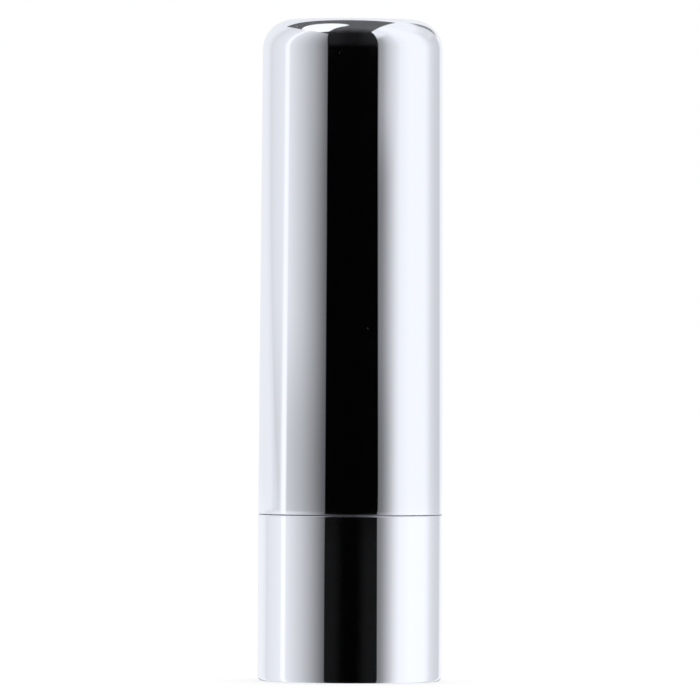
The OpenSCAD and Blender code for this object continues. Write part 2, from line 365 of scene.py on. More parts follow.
class Lathe:
    """Turns outlines into closed meshes with one Geometry Nodes tree, with a ring of ribs where a piece has one."""

    sizes = {
        "Int": ("Points", "Steps", "Rib count"),
        "Float": ("Rib ring radius", "Rib half width", "Rib half depth", "Rib bottom", "Rib top"),
        "Material": ("Finish",),
    }

    def __init__(self) -> None:
        """Builds the tree."""
        self.tree = bpy.data.node_groups.new("turned_piece", "GeometryNodeTree")
        face = self.tree.interface
        face.new_socket("Outline", in_out="INPUT", socket_type="NodeSocketGeometry")
        self.ids = {
            name: face.new_socket(name, in_out="INPUT", socket_type="NodeSocket" + kind).identifier
            for kind, names in self.sizes.items() for name in names
        }
        face.new_socket("Piece", in_out="OUTPUT", socket_type="NodeSocketGeometry")
        graph = Graph(self.tree)
        given = graph.node("NodeGroupInput")
        size = {name: graph.out(given, name) for name in self.ids}
        body = self._turned(graph, graph.out(given, "Outline"), size["Points"], size["Steps"])
        ribs = self._ribs(graph, size)
        joined = graph.node("GeometryNodeJoinGeometry")
        for part in (body, ribs):
            self.tree.links.new(part.socket, joined.inputs[0])
        real = graph.node("GeometryNodeRealizeInstances", None, {"Geometry": graph.out(joined)})
        dressed = graph.node(
            "GeometryNodeSetMaterial", None, {"Geometry": graph.out(real), "Material": size["Finish"]}
        )
        graph.node("NodeGroupOutput", None, {0: graph.out(dressed)})

    @staticmethod
    def _turned(graph: Graph, outline: Value, points: Value, steps: Value) -> Value:
        """Wraps a grid round the axis so that each of its rows is one point of the outline.

        Args:
            graph: the tree.
            outline: the outline's mesh.
            points: how many points it has.
            steps: how many steps go round.

        Returns:
            The turned mesh, with its seam and poles merged.
        """
        grid = graph.node("GeometryNodeMeshGrid", None, {
            "Size X": points - 1, "Size Y": steps, "Vertices X": points, "Vertices Y": steps + 1,
        })
        across, round_it, _ = graph.split(graph.out(graph.node("GeometryNodeInputPosition")))
        row = (across + (points - 1) / 2).maths("ROUND")
        drawn = graph.node(
            "GeometryNodeSampleIndex", {"data_type": "FLOAT_VECTOR", "domain": "POINT"},
            {"Geometry": outline, "Value": graph.out(graph.node("GeometryNodeInputPosition")), "Index": row},
        )
        r, _, z = graph.split(graph.out(drawn))
        turn = (round_it + steps / 2) * (2 * math.pi) / steps
        place = graph.join(r * turn.maths("COSINE"), r * turn.maths("SINE"), z)
        wrapped = graph.node("GeometryNodeSetPosition", None, {"Geometry": graph.out(grid), "Position": place})
        merged = graph.node("GeometryNodeMergeByDistance", None, {"Geometry": graph.out(wrapped), "Distance": 1e-6})
        return graph.out(graph.node("GeometryNodeSetShadeSmooth", None, {"Geometry": graph.out(merged)}))

    @staticmethod
    def _ribs(graph: Graph, size: Mapping[str, Value]) -> Value:
        """Sets ribs of an oval section round the axis.

        Args:
            graph: the tree.
            size: the tree's inputs by name.

        Returns:
            The ribs as instances.
        """
        tall = size["Rib top"] - size["Rib bottom"]
        rib = graph.node("GeometryNodeMeshCylinder", {"fill_type": "NGON"}, {
            "Vertices": 16, "Side Segments": 1, "Radius": 1.0, "Depth": tall,
        })
        turn = graph.out(graph.node("GeometryNodeInputIndex")) * (2 * math.pi) / size["Rib count"].maths("MAXIMUM", 1)
        reach, middle = size["Rib ring radius"], (size["Rib top"] + size["Rib bottom"]) / 2
        place = graph.join(reach * turn.maths("COSINE"), reach * turn.maths("SINE"), middle)
        points = graph.node("GeometryNodePoints", None, {"Count": size["Rib count"], "Position": place})
        placed = graph.node("GeometryNodeInstanceOnPoints", None, {
            "Points": graph.out(points), "Instance": graph.out(rib),
            "Rotation": graph.join(0.0, 0.0, turn),
            "Scale": graph.join(size["Rib half depth"], size["Rib half width"], 1.0),
        })
        return graph.out(placed)

    def turn(
        self,
        name: str,
        outline: Outline,
        finish: bpy.types.Material,
        steps: int = 128,
        ribs: RibRing = RibRing(),
    ) -> bpy.types.Object:
        """Makes one turned piece.

        Args:
            name: the piece's name.
            outline: its half section, in millimetres.
            finish: its material.
            steps: how many steps go round.
            ribs: the ribs that it has.

        Returns:
            The piece as a plain mesh at the origin, with its faces outwards.
        """
        drawn = bpy.data.meshes.new(name + "_outline")
        points = outline.points
        drawn.from_pydata(
            [(r * MM, 0.0, z * MM) for r, z in points], [(i, i + 1) for i in range(len(points) - 1)], []
        )
        rough = bpy.data.objects.new(name + "_outline", drawn)
        bpy.context.scene.collection.objects.link(rough)
        modifier = rough.modifiers.new("turned", "NODES")
        modifier.node_group = self.tree
        sizes = {
            "Points": len(points), "Steps": steps, "Rib count": ribs.count,
            "Rib ring radius": ribs.ring_r * MM, "Rib half width": ribs.half_width * MM,
            "Rib half depth": ribs.half_depth * MM, "Rib bottom": ribs.bottom * MM, "Rib top": ribs.top * MM,
            "Finish": finish,
        }
        for key, given in sizes.items():
            modifier[self.ids[key]] = given
        bpy.context.view_layer.update()
        mesh = bpy.data.meshes.new_from_object(rough.evaluated_get(bpy.context.evaluated_depsgraph_get()))
        mesh.name = name
        bpy.data.objects.remove(rough)
        bpy.data.meshes.remove(drawn)
        if enclosed(mesh) < 0:
            mesh.flip_normals()
        piece = bpy.data.objects.new(name, mesh)
        bpy.context.scene.collection.objects.link(piece)
        return piece


def enclosed(mesh: bpy.types.Mesh) -> float:
    """Measures what a closed mesh encloses.

    Args:
        mesh: a closed mesh.

    Returns:
        Its volume, below zero where its faces point inwards.
    """
    mesh.calc_loop_triangles()
    place = [v.co for v in mesh.vertices]
    corners = (t.vertices for t in mesh.loop_triangles)
    return sum(place[a].dot(place[b].cross(place[c])) for a, b, c in corners) / 6


# Finishes --------------------


class Skin(Graph):
    """A material's tree, with the position on the piece in millimetres at hand."""

    def __init__(self, tree: bpy.types.NodeTree) -> None:
        """Reads Object coordinates, and nothing else."""
        super().__init__(tree)
        metres = self.out(self.node("ShaderNodeTexCoord"), "Object")
        self.place = self.vector_maths("MULTIPLY", {0: metres, 1: (1 / MM,) * 3})

    def stretched(self, stretch: Optional[Stretch]) -> Value:
        """The position, scaled part by part where a pattern runs along the piece."""
        return self.vector_maths("MULTIPLY", {0: self.place, 1: stretch}) if stretch else self.place

    def cloud(self, scale: float, detail: float, roughness: float, stretch: Optional[Stretch] = None) -> Value:
        """Adds a noise over the piece.

        Args:
            scale: how many lumps there are in a millimetre.
            detail: how many finer layers it has.
            roughness: how strong those are.
            stretch: the scale along X, Y and Z where it isn't even.

        Returns:
            Its value, about 0.5 in the mean.
        """
        return self.noise(self.stretched(stretch), scale, detail, roughness)

    def specks(self, cell: float, size: float, share: float, stretch: Optional[Stretch] = None) -> Value:
        """Scatters small round specks.

        Args:
            cell: the spacing of the places where one may lie.
            size: a speck's radius.
            share: how many of those places have one.
            stretch: the scale along X, Y and Z where they aren't round.

        Returns:
            1 on a strong speck and 0 beside the specks.
        """
        cells = self.node(
            "ShaderNodeTexVoronoi", {"feature": "F1", "voronoi_dimensions": "3D"},
            {"Vector": self.stretched(stretch), "Scale": 1 / cell, "Randomness": 1.0},
        )
        near = self.ease(self.out(cells, "Distance") * cell, size, 0.4 * size)
        chosen, spread, _ = self.split(self.out(cells, "Color"))
        return near * chosen.maths("LESS_THAN", share) * (0.35 + 0.65 * spread)

    def relief(self, height: Value, microns: float) -> Value:
        """The normal that a height from 0 to 1 gives when it is that many microns deep."""
        inputs = {"Strength": 1.0, "Distance": microns * 1e-6, "Height": height}
        return self.out(self.node("ShaderNodeBump", None, inputs))


class Finish:
    """Common ground of the finishes: each says what goes into one Principled shader."""

    name = "finish"

    def make(self) -> bpy.types.Material:
        """Builds the material.

        Returns:
            A material that reads Object coordinates alone.
        """
        material, shader = plain_material(self.name)
        skin = Skin(material.node_tree)
        skin.feed(shader, self.surface(skin))
        return material

    def surface(self, skin: Skin) -> Sockets:
        """Says what goes into the shader.

        Args:
            skin: the material's tree.

        Returns:
            Numbers, colours or Values by the shader's socket names.
        """
        raise NotImplementedError


def plain_material(name: str) -> tuple[bpy.types.Material, bpy.types.Node]:
    """A new material of that name, and its Principled shader."""
    material = bpy.data.materials.new(name)
    material.use_nodes = True
    return material, next(n for n in material.node_tree.nodes if n.type == "BSDF_PRINCIPLED")


@dataclass(frozen=True)
class MirrorShell(Finish):
    """Vacuum-metallised moulding under clear lacquer: a bright mirror with a little life in it."""

    name: str = "mirror_shell"
    haze: float = 0.25
    handled: float = 0.0
    seam: float = 17.1
    top: float = 68.0
    rubbed_depth: Point = (4.8, 1.2)
    colour: Colour = (0.90, 0.912, 0.94)
    dulled: Colour = (0.78, 0.79, 0.81)
    roughness: float = 0.022
    waviness: float = 2.4

    def surface(self, skin: Skin) -> Sockets:
        """Smears, dust, scratches, a rubbed top and a worn seam edge in the lacquer, over the moulding's slow waves.

        Args:
            skin: the material's tree.

        Returns:
            What goes into the shader.
        """
        smear = skin.ease(skin.cloud(0.55, 4.0, 0.65), 0.42, 0.78)
        blotch = skin.ease(skin.cloud(1.0, 5.0, 0.7, (1.5, 1.5, 0.8)), 0.40, 0.62)
        lines = skin.cloud(1.0, 3.0, 0.65, (3.2, 3.2, 0.05))
        draw = skin.ease(lines, 0.62, 0.78)
        dust = skin.specks(1.5, 0.085, 0.42)
        scratches = skin.specks(1.1, 0.045, 0.30, (1.0, 1.0, 0.05))
        marks = dust.maths("MAXIMUM", scratches)
        height = skin.split(skin.place)[2]
        wear = self._seam_wear(skin, height)
        start, full = (self.top - depth for depth in self.rubbed_depth)
        rubbed = skin.ease(height, start, full) * (0.6 + 0.8 * blotch)
        waves = skin.cloud(0.16, 1.0, 0.4, (1.0, 1.0, 0.55)) + 0.012 * skin.cloud(1.4, 1.0, 0.4) + 0.006 * lines
        return {
            "Base Color": skin.mix(0.5 * marks, self.colour, self.dulled),
            "Metallic": 1.0,
            "Roughness": self.roughness + 0.012 * smear + 0.02 * draw + 0.30 * marks.maths("MAXIMUM", wear),
            "Coat Weight": self.haze * (0.20 + 0.35 * smear + 0.45 * blotch + 0.25 * draw) + self.handled * rubbed,
            "Coat Roughness": 0.34,
            "Normal": skin.relief(waves, self.waviness),
        }

    def _seam_wear(self, skin: Skin, height: Value) -> Value:
        """The rubbed edge on both sides of the seam, uneven round the case.

        Args:
            skin: the material's tree.
            height: the height on the case, in millimetres.

        Returns:
            From 0 on the wall to 1 where the edge is rubbed most.
        """
        uneven = skin.cloud(1.8, 4.0, 0.7)
        apart = abs(height - self.seam) + 0.16 * (uneven - 0.5)
        return skin.ease(apart, 0.19, 0.09) * (0.5 + uneven)


@dataclass(frozen=True)
class BrightAluminium(Finish):
    """Drawn and anodised aluminium sheet with fine lines round the tube."""

    name: str = "sleeve_aluminium"
    colour: Colour = (0.88, 0.88, 0.90)
    smeared: Colour = (0.74, 0.745, 0.77)
    roughness: float = 0.13

    def surface(self, skin: Skin) -> Sockets:
        """Turning lines, handling smears and a trace of draw marks.

        Args:
            skin: the material's tree.

        Returns:
            What goes into the shader.
        """
        rings = skin.cloud(1.0, 3.0, 0.7, (0.05, 0.05, 14.0))
        drawn = skin.cloud(1.0, 2.0, 0.6, (5.0, 5.0, 0.12))
        smear = skin.ease(skin.cloud(0.3, 3.0, 0.6), 0.42, 0.72)
        return {
            "Base Color": skin.mix(0.25 * smear + 0.2 * rings, self.colour, self.smeared),
            "Metallic": 1.0,
            "Roughness": self.roughness + 0.07 * smear + 0.06 * rings,
            "Normal": skin.relief(rings + 0.6 * drawn, 1.6),
        }


@dataclass(frozen=True)
class MouldedPlastic(Finish):
    """Injection-moulded plastic: flow shades, a fine spark-eroded grain and ejector drag lines."""

    name: str = "moulded_plastic"
    colour: Colour = (0.85, 0.85, 0.84)
    shade: Colour = (0.78, 0.78, 0.77)
    roughness: float = 0.34
    grain: float = 3.0
    milkiness: float = 0.0
    soot: Colour = (0.35, 0.34, 0.32)

    def surface(self, skin: Skin) -> Sockets:
        """Flow, grain and drag lines.

        Args:
            skin: the material's tree.

        Returns:
            What goes into the shader.
        """
        flow = skin.cloud(1.0, 3.0, 0.55, (0.5, 0.5, 0.18))
        drag = skin.cloud(1.0, 2.0, 0.6, (4.0, 4.0, 0.08))
        grain = skin.cloud(9.0, 2.0, 0.6)
        colour = skin.mix(skin.ease(flow, 0.3, 0.75), self.colour, self.shade)
        return {
            "Base Color": skin.mix(0.35 * skin.specks(2.2, 0.06, 0.25), colour, self.soot),
            "Roughness": self.roughness + 0.14 * (flow - 0.5) + 0.08 * grain,
            "Subsurface Weight": self.milkiness,
            "Subsurface Radius": (0.6, 0.6, 0.6),
            "Subsurface Scale": 0.0012,
            "Normal": skin.relief(grain + 0.8 * drag, self.grain),
        }


@dataclass(frozen=True)
class LipWax(Finish):
    """Moulded lip colour: satin wax with mould shine on its sides, fine pigment and a trace of bloom."""

    name: str = "lip_colour"
    colour: Colour = (0.40, 0.013, 0.027)
    deep: Colour = (0.33, 0.009, 0.020)
    bloom: Colour = (0.50, 0.07, 0.09)

    def surface(self, skin: Skin) -> Sockets:
        """Pigment clouds, bloom and the faint upright lines of the mould.

        Args:
            skin: the material's tree.

        Returns:
            What goes into the shader.
        """
        clouds = skin.cloud(0.55, 4.0, 0.6)
        pigment = skin.cloud(16.0, 2.0, 0.7)
        bloom = skin.ease(skin.cloud(0.9, 4.0, 0.65), 0.6, 0.85)
        lines = skin.cloud(1.0, 2.0, 0.6, (3.0, 3.0, 0.1))
        colour = skin.mix(skin.ease(clouds, 0.3, 0.7), self.colour, self.deep)
        return {
            "Base Color": skin.mix(0.08 * bloom + 0.06 * skin.ease(pigment, 0.62, 0.8), colour, self.bloom),
            "Roughness": 0.22 + 0.12 * bloom + 0.08 * pigment,
            "Specular IOR Level": 0.45,
            "Subsurface Weight": 0.06,
            "Subsurface Radius": (1.0, 0.2, 0.2),
            "Subsurface Scale": 0.0008,
            "Normal": skin.relief(0.5 * pigment + lines + 0.7 * clouds, 7.0),
        }


@dataclass(frozen=True)
class TurnedSteel(Finish):
    """The weight's steel, faced on a lathe: rings on its faces and a dry satin sheen."""

    name: str = "weight_steel"
    colour: Colour = (0.50, 0.50, 0.50)
    stained: Colour = (0.38, 0.37, 0.35)
    rings_per_mm: float = 9.0

    def surface(self, skin: Skin) -> Sockets:
        """Facing rings and handling stains.

        Args:
            skin: the material's tree.

        Returns:
            What goes into the shader.
        """
        x, y, z = skin.split(skin.place)
        out = (x * x + y * y).maths("SQRT")
        rings = skin.noise(skin.join(out * self.rings_per_mm, 0.0, z * self.rings_per_mm), 1.0, 2.0, 0.6)
        stain = skin.cloud(0.5, 4.0, 0.6)
        return {
            "Base Color": skin.mix(skin.ease(stain, 0.4, 0.75), self.colour, self.stained),
            "Metallic": 1.0,
            "Roughness": 0.28 + 0.16 * stain,
            "Normal": skin.relief(rings, 5.0),
        }


@dataclass(frozen=True)
class RingRubber(Finish):
    """Black moulded rubber with talc dust in its grain."""

    name: str = "ring_rubber"
    colour: Colour = (0.03, 0.03, 0.032)
    talc: Colour = (0.30, 0.30, 0.31)

    def surface(self, skin: Skin) -> Sockets:
        """Grain with a little talc.

        Args:
            skin: the material's tree.

        Returns:
            What goes into the shader.
        """
        talc = skin.ease(skin.cloud(1.6, 4.0, 0.65), 0.52, 0.8)
        return {
            "Base Color": skin.mix(0.35 * talc, self.colour, self.talc),
            "Roughness": 0.62 + 0.2 * talc,
            "Normal": skin.relief(skin.cloud(12.0, 3.0, 0.6), 12.0),
        }


@dataclass(frozen=True)
class LabelPaper(Finish):
    """Coated label paper, left blank: fibres under a thin clay coat."""

    name: str = "label_paper"
    colour: Colour = (0.90, 0.90, 0.88)
    clouded: Colour = (0.82, 0.815, 0.78)

    def surface(self, skin: Skin) -> Sockets:
        """Fibres in two directions and the cloudiness of the sheet.

        Args:
            skin: the material's tree.

        Returns:
            What goes into the shader.
        """
        lengthwise = skin.cloud(1.0, 3.0, 0.6, (1.2, 9.0, 1.0))
        crosswise = skin.cloud(1.0, 3.0, 0.6, (9.0, 1.6, 1.0))
        fibres = lengthwise.maths("MAXIMUM", crosswise)
        return {
            "Base Color": skin.mix(skin.ease(skin.cloud(0.7, 3.0, 0.6), 0.3, 0.8), self.colour, self.clouded),
            "Roughness": 0.55 + 0.2 * fibres,
            "Normal": skin.relief(fibres, 14.0),
        }


class Stock(Enum):
    """The plastics of the case, by the part that is moulded from each."""

    INSERT = MouldedPlastic("insert_plastic", (0.72, 0.73, 0.75), (0.64, 0.65, 0.67), 0.30, 2.5)
    TUBE = MouldedPlastic("tube_plastic", (0.86, 0.86, 0.84), (0.80, 0.80, 0.77), 0.32, 2.0, 0.15)
    CUP = MouldedPlastic("cup_plastic", (0.80, 0.81, 0.82), (0.72, 0.73, 0.74), 0.30, 2.0, 0.08)
    LINER = MouldedPlastic("liner_plastic", (0.85, 0.85, 0.84), (0.78, 0.78, 0.76), 0.40, 3.5, 0.08)


def dress(node: bpy.types.Object, finish: bpy.types.Material) -> None:
    """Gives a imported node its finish.

    Args:
        node: the node's object.
        finish: the material.
    """
    if not node.material_slots:
        node.data.materials.append(finish)
    for slot in node.material_slots:
        slot.material = finish
    log.info("%s dressed in %s", node.name, finish.name)


def settle(piece: bpy.types.Object, body: str, slot: str, *nodes: str) -> bpy.types.Object:
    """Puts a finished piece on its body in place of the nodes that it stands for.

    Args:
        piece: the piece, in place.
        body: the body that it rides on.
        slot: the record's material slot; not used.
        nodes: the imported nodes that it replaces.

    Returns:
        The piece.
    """
    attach(piece, body)
    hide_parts(*nodes)
    log.info("%s made: %d faces, rides on %s", piece.name, len(piece.data.polygons), body)
    return piece


def span(node: str) -> tuple[float, float, float]:
    """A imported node's lowest height, highest height and half width across Y, in millimetres."""
    low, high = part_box(node)
    return low.z / MM, high.z / MM, (high.y - low.y) / 2 / MM


# Sub-assemblies --------------------


@dataclass
class Cap:
    """The cap: its mirror shell and the liner glued into it."""

    lathe: Lathe
    mirror: bpy.types.Material
    liner_plastic: bpy.types.Material
    draft: float = 0.25
    top_round: float = 3.1
    crown_rise: float = 0.05
    land: float = 0.5
    seam_round: float = 0.12
    bore_r: float = 8.70
    roof: float = 1.2
    crown_rings: tuple[float, ...] = (0.99, 0.9, 0.75, 0.6, 0.45, 0.3, 0.15, 0)
    hollow_round: float = 2.5
    lead_in: float = 0.2
    liner_wall: float = 0.40
    liner_roof: float = 0.75
    liner_clearance: float = 0.02
    grip_ribs: RibRing = RibRing(6, 8.30, 0.30, 0.14, 22.4, 30.4)

    def build(self) -> None:
        """Makes the cap's two pieces."""
        self._shell()
        self._liner()

    def _shell(self) -> None:
        """Turns the shell: drafted wall, rounded shoulder and a crown that rises a trace to its centre."""
        bottom, top, outer = span("cap_shell")
        land_top = bottom + self.land
        fillet_r = outer - self.draft - self.top_round
        crown = 2 * self.crown_rise / fillet_r
        fillet_z = top - self.crown_rise - self.top_round * math.cos(crown)
        run = fillet_z - land_top
        lean = math.atan((outer - fillet_r) / run)
        lean -= math.asin(self.top_round / math.hypot(outer - fillet_r, run))
        edge = fillet_r + self.top_round * math.sin(crown)
        hollow = top - self.roof
        shape = Outline(step=1.5)
        shape.path([
            Corner(0, hollow),
            Corner(self.bore_r, hollow, self.hollow_round),
            Corner(self.bore_r, bottom + self.lead_in, 0.03),
            Corner(self.bore_r + self.lead_in, bottom, 0.03),
            Corner(outer, bottom, self.seam_round),
            Corner(outer, land_top),
        ])
        shape.arc((fillet_r, fillet_z), self.top_round, math.degrees(lean), 90 - math.degrees(crown))
        shape.points.extend((edge * share, top - self.crown_rise * share ** 2) for share in self.crown_rings)
        settle(self.lathe.turn("cap_mirror_shell", shape, self.mirror, 192), "cap", "mirror_shell", "cap_shell")

    def _liner(self) -> None:
        """Turns the liner with the ribs that hold the cap on the sleeve."""
        bottom, top, outer = span("cap_liner")
        bore = outer - self.liner_wall
        ceiling = top - self.liner_roof
        fillet = self.hollow_round - self.liner_clearance
        shape = Outline(step=6.0)
        shape.path([
            Corner(0, ceiling),
            Corner(bore, ceiling, fillet - self.liner_wall),
            Corner(bore, bottom + self.lead_in, 0.03),
            Corner(bore + self.lead_in, bottom, 0.03),
            Corner(outer, bottom, 0.05),
            Corner(outer, top, fillet),
            Corner(0, top),
        ])
        piece = self.lathe.turn("cap_inner_liner", shape, self.liner_plastic, 128, self.grip_ribs)
        settle(piece, "cap", "liner_plastic", "cap_liner")


@dataclass
class Base:
    """The base: mirror shell, insert with the cap's neck, weight, label, slotted tube and friction ring."""

    lathe: Lathe
    nodes: Mapping[str, bpy.types.Object]
    mirror: bpy.types.Material
    insert_plastic: bpy.types.Material
    tube_plastic: bpy.types.Material
    steel: bpy.types.Material
    paper: bpy.types.Material
    rubber: bpy.types.Material
    foot_round: float = 0.55
    seam_round: float = 0.12
    bore_r: float = 8.66
    floor_top: float = 1.2
    recess_r: float = 7.0
    recess_depth: float = 0.3
    neck_wall: float = 0.48
    skirt_wall: float = 0.55
    socket_r: float = 7.96
    insert_floor: Point = (4.2, 5.0)
    foot_top: float = 9.0
    glue_grooves: tuple[float, ...] = (6.84, 11.97)
    groove_depth: float = 0.12
    groove_height: float = 1.0

    def build(self) -> None:
        """Makes the two turned pieces and dresses the rest."""
        self._shell()
        self._insert()
        dress(self.nodes["shade_label"], self.paper)
        dress(self.nodes["base_weight"], self.steel)
        dress(self.nodes["slotted_tube"], self.tube_plastic)
        dress(self.nodes["friction_ring"], self.rubber)

    def _shell(self) -> None:
        """Turns the shell with the foot that it stands on and the recess for the label."""
        bottom, top, outer = span("base_shell")
        shape = Outline(step=2.0)
        shape.path([
            Corner(0, bottom + self.recess_depth),
            Corner(self.recess_r, bottom + self.recess_depth, 0.04),
            Corner(self.recess_r, bottom, 0.06),
            Corner(outer, bottom, self.foot_round),
            Corner(outer, top, self.seam_round),
            Corner(self.bore_r, top, 0.05),
            Corner(self.bore_r, self.floor_top, 0.2),
            Corner(0, self.floor_top),
        ])
        settle(self.lathe.turn("base_mirror_shell", shape, self.mirror, 192), "base", "mirror_shell", "base_shell")

    def _insert(self) -> None:
        """Turns the insert: skirt round the weight, socket for the tube, glue grooves and neck."""
        bottom, top, outer = span("base_insert")
        neck_bore = outer - self.neck_wall
        corners = [
            Corner(0, self.insert_floor[0]),
            Corner(outer - self.skirt_wall, self.insert_floor[0], 0.05),
            Corner(outer - self.skirt_wall, bottom, 0.05),
            Corner(outer, bottom, 0.05),
        ]
        for low in self.glue_grooves:
            high, floor = low + self.groove_height, outer - self.groove_depth
            corners += [Corner(r, z, 0.02) for r, z in ((outer, low), (floor, low), (floor, high), (outer, high))]
        corners += [
            Corner(outer, top, self.neck_wall / 2),
            Corner(neck_bore, top, 0.08),
            Corner(neck_bore, self.foot_top, 0.04),
            Corner(self.socket_r, self.foot_top, 0.04),
            Corner(self.socket_r, self.insert_floor[1], 0.05),
            Corner(0, self.insert_floor[1]),
        ]
        piece = self.lathe.turn("base_neck_insert", Outline(step=7.0).path(corners), self.insert_plastic, 128)
        settle(piece, "base", "insert_plastic", "base_insert")


@dataclass
class Sleeve:
    """What the fingers turn: the bright sleeve with its rolled rim and the spiral sleeve pressed into it."""

    lathe: Lathe
    nodes: Mapping[str, bpy.types.Object]
    aluminium: bpy.types.Material
    tube_plastic: bpy.types.Material
    sheet: float = 0.25
    rim_bore_r: float = 6.75
    rim_round: float = 0.275

    def build(self) -> None:
        """Makes the bright sleeve and dresses the spiral sleeve."""
        bottom, top, outer = span("outer_sleeve")
        bore = outer - self.sheet
        shape = Outline(step=5.0)
        shape.path([
            Corner(bore, bottom, 0.05),
            Corner(outer, bottom, 0.06),
            Corner(outer, top, self.rim_round),
            Corner(self.rim_bore_r, top, 0.11),
            Corner(self.rim_bore_r, top - self.sheet, 0.08),
            Corner(bore, top - self.sheet, 0.04),
        ], ring=True)
        piece = self.lathe.turn("bright_sleeve", shape, self.aluminium, 160)
        settle(piece, "sleeve", "sleeve_aluminium", "outer_sleeve")
        dress(self.nodes["spiral_sleeve"], self.tube_plastic)


@dataclass
class Carrier:
    """What rises: the cup with its lugs and the lip colour that stands in it."""

    nodes: Mapping[str, bpy.types.Object]
    cup_plastic: bpy.types.Material
    wax: bpy.types.Material
    slant: float = 50.0
    tip_flat: float = 1.0
    edge_round: float = 0.32
    edge_steps: int = 6
    sharp_from: float = 15.0
    face_inset: float = 0.06
    steps: int = 144

    def build(self) -> None:
        """Makes the lip colour and dresses the cup."""
        dress(self.nodes["cup"], self.cup_plastic)
        self._bullet()

    def _bullet(self) -> None:
        """Cuts a round bar on the slant, rounds what the mould rounds and keeps its faces flat between."""
        bottom, top, radius = span("lipstick_bullet")
        shape = bmesh.new()
        bmesh.ops.create_cone(
            shape, cap_ends=True, segments=self.steps, radius1=radius * MM, radius2=radius * MM,
            depth=(top - bottom) * MM, matrix=Matrix.Translation((0, 0, (top + bottom) / 2 * MM)),
        )
        lean = math.radians(self.slant)
        bmesh.ops.bisect_plane(
            shape, geom=shape.verts[:] + shape.edges[:] + shape.faces[:], dist=1e-7,
            plane_co=(0, (radius - self.tip_flat) * MM, top * MM),
            plane_no=(0, -math.sin(lean), math.cos(lean)), clear_outer=True,
        )
        rim = [e for e in shape.edges if e.is_boundary]
        bmesh.ops.contextual_create(shape, geom=rim)
        bmesh.ops.recalc_face_normals(shape, faces=shape.faces[:])
        sharp = [
            e for e in shape.edges
            if len(e.link_faces) == 2 and e.calc_face_angle() > math.radians(self.sharp_from)
            and min(v.co.z for v in e.verts) > (bottom + 1) * MM
        ]
        bmesh.ops.bevel(
            shape, geom=sharp, offset=self.edge_round * MM, offset_type="OFFSET", segments=self.edge_steps,
            profile=0.5, affect="EDGES", clamp_overlap=True,
        )
        wide = [f for f in shape.faces if f.calc_area() > 1e-6 and abs(f.normal.z) > 0.1]
        bmesh.ops.inset_individual(shape, faces=wide, thickness=self.face_inset * MM, use_even_offset=True)
        for face in shape.faces:
            face.smooth = True
        mesh = bpy.data.meshes.new("lip_colour_bullet")
        shape.to_mesh(mesh)
        shape.free()
        mesh.materials.append(self.wax)
        piece = bpy.data.objects.new("lip_colour_bullet", mesh)
        bpy.context.scene.collection.objects.link(piece)
        settle(piece, "carrier", "lip_colour", "lipstick_bullet")


# Studio --------------------


TABLE_EDGE: Fade = (-0.92, -0.70)
TABLE_HEIGHT: Fade = (0.9, -0.3)


@dataclass(frozen=True)
class Shade:
    """A stretch of the tent that differs: by how much, and its fades over the bearing and over the elevation.

    A fade says where it starts and where it is full, and with two of them the stretch lies between.
    """

    share: float
    bearings: tuple[Fade, ...] = ()
    elevations: tuple[Fade, ...] = ()


class Sky(Graph):
    """The world's tree, with the direction that is looked in: its parts, and bearing and elevation in degrees."""

    bend: Fade = (0.93, 0.80)
    upright_above = 2.3
    deepest_drop = 4.2

    def __init__(self, tree: bpy.types.NodeTree) -> None:
        """Reads the direction, with the bearing bent so that the stripes run straight on over a rounded foot."""
        super().__init__(tree)
        self.x, self.y, self.z = self.split(self.out(self.node("ShaderNodeTexCoord"), "Generated"))
        bearing = self.maths("ARCTAN2", self.x, -self.y) * DEGREES
        under = 2 * self.maths("ARCTAN2", self.x, 1 - self.y) * DEGREES
        self.bearing = bearing + (under - bearing) * self.ease(self.y, *self.bend) * self.z.maths("LESS_THAN", 0.0)
        self.elevation = self.z.maths("ARCSINE") * DEGREES
        # How far a direction is below the height where the tent's edges stand upright
        self.drop = (self.upright_above - self.elevation).maths("MAXIMUM", 0.0).maths("MINIMUM", self.deepest_drop)

    def amount(self, shade: Shade, bearing: Optional[Value] = None) -> Value:
        """How much of a shade there is in a direction.

        Args:
            shade: the shade.
            bearing: what its bearings are compared with, when not the bearing itself.

        Returns:
            Its share where it is full, and 0 away from it.
        """
        eased = [self.ease(bearing or self.bearing, *fade) for fade in shade.bearings]
        eased += [self.ease(self.elevation, *fade) for fade in shade.elevations]
        return shade.share * math.prod(eased[1:], start=eased[0])


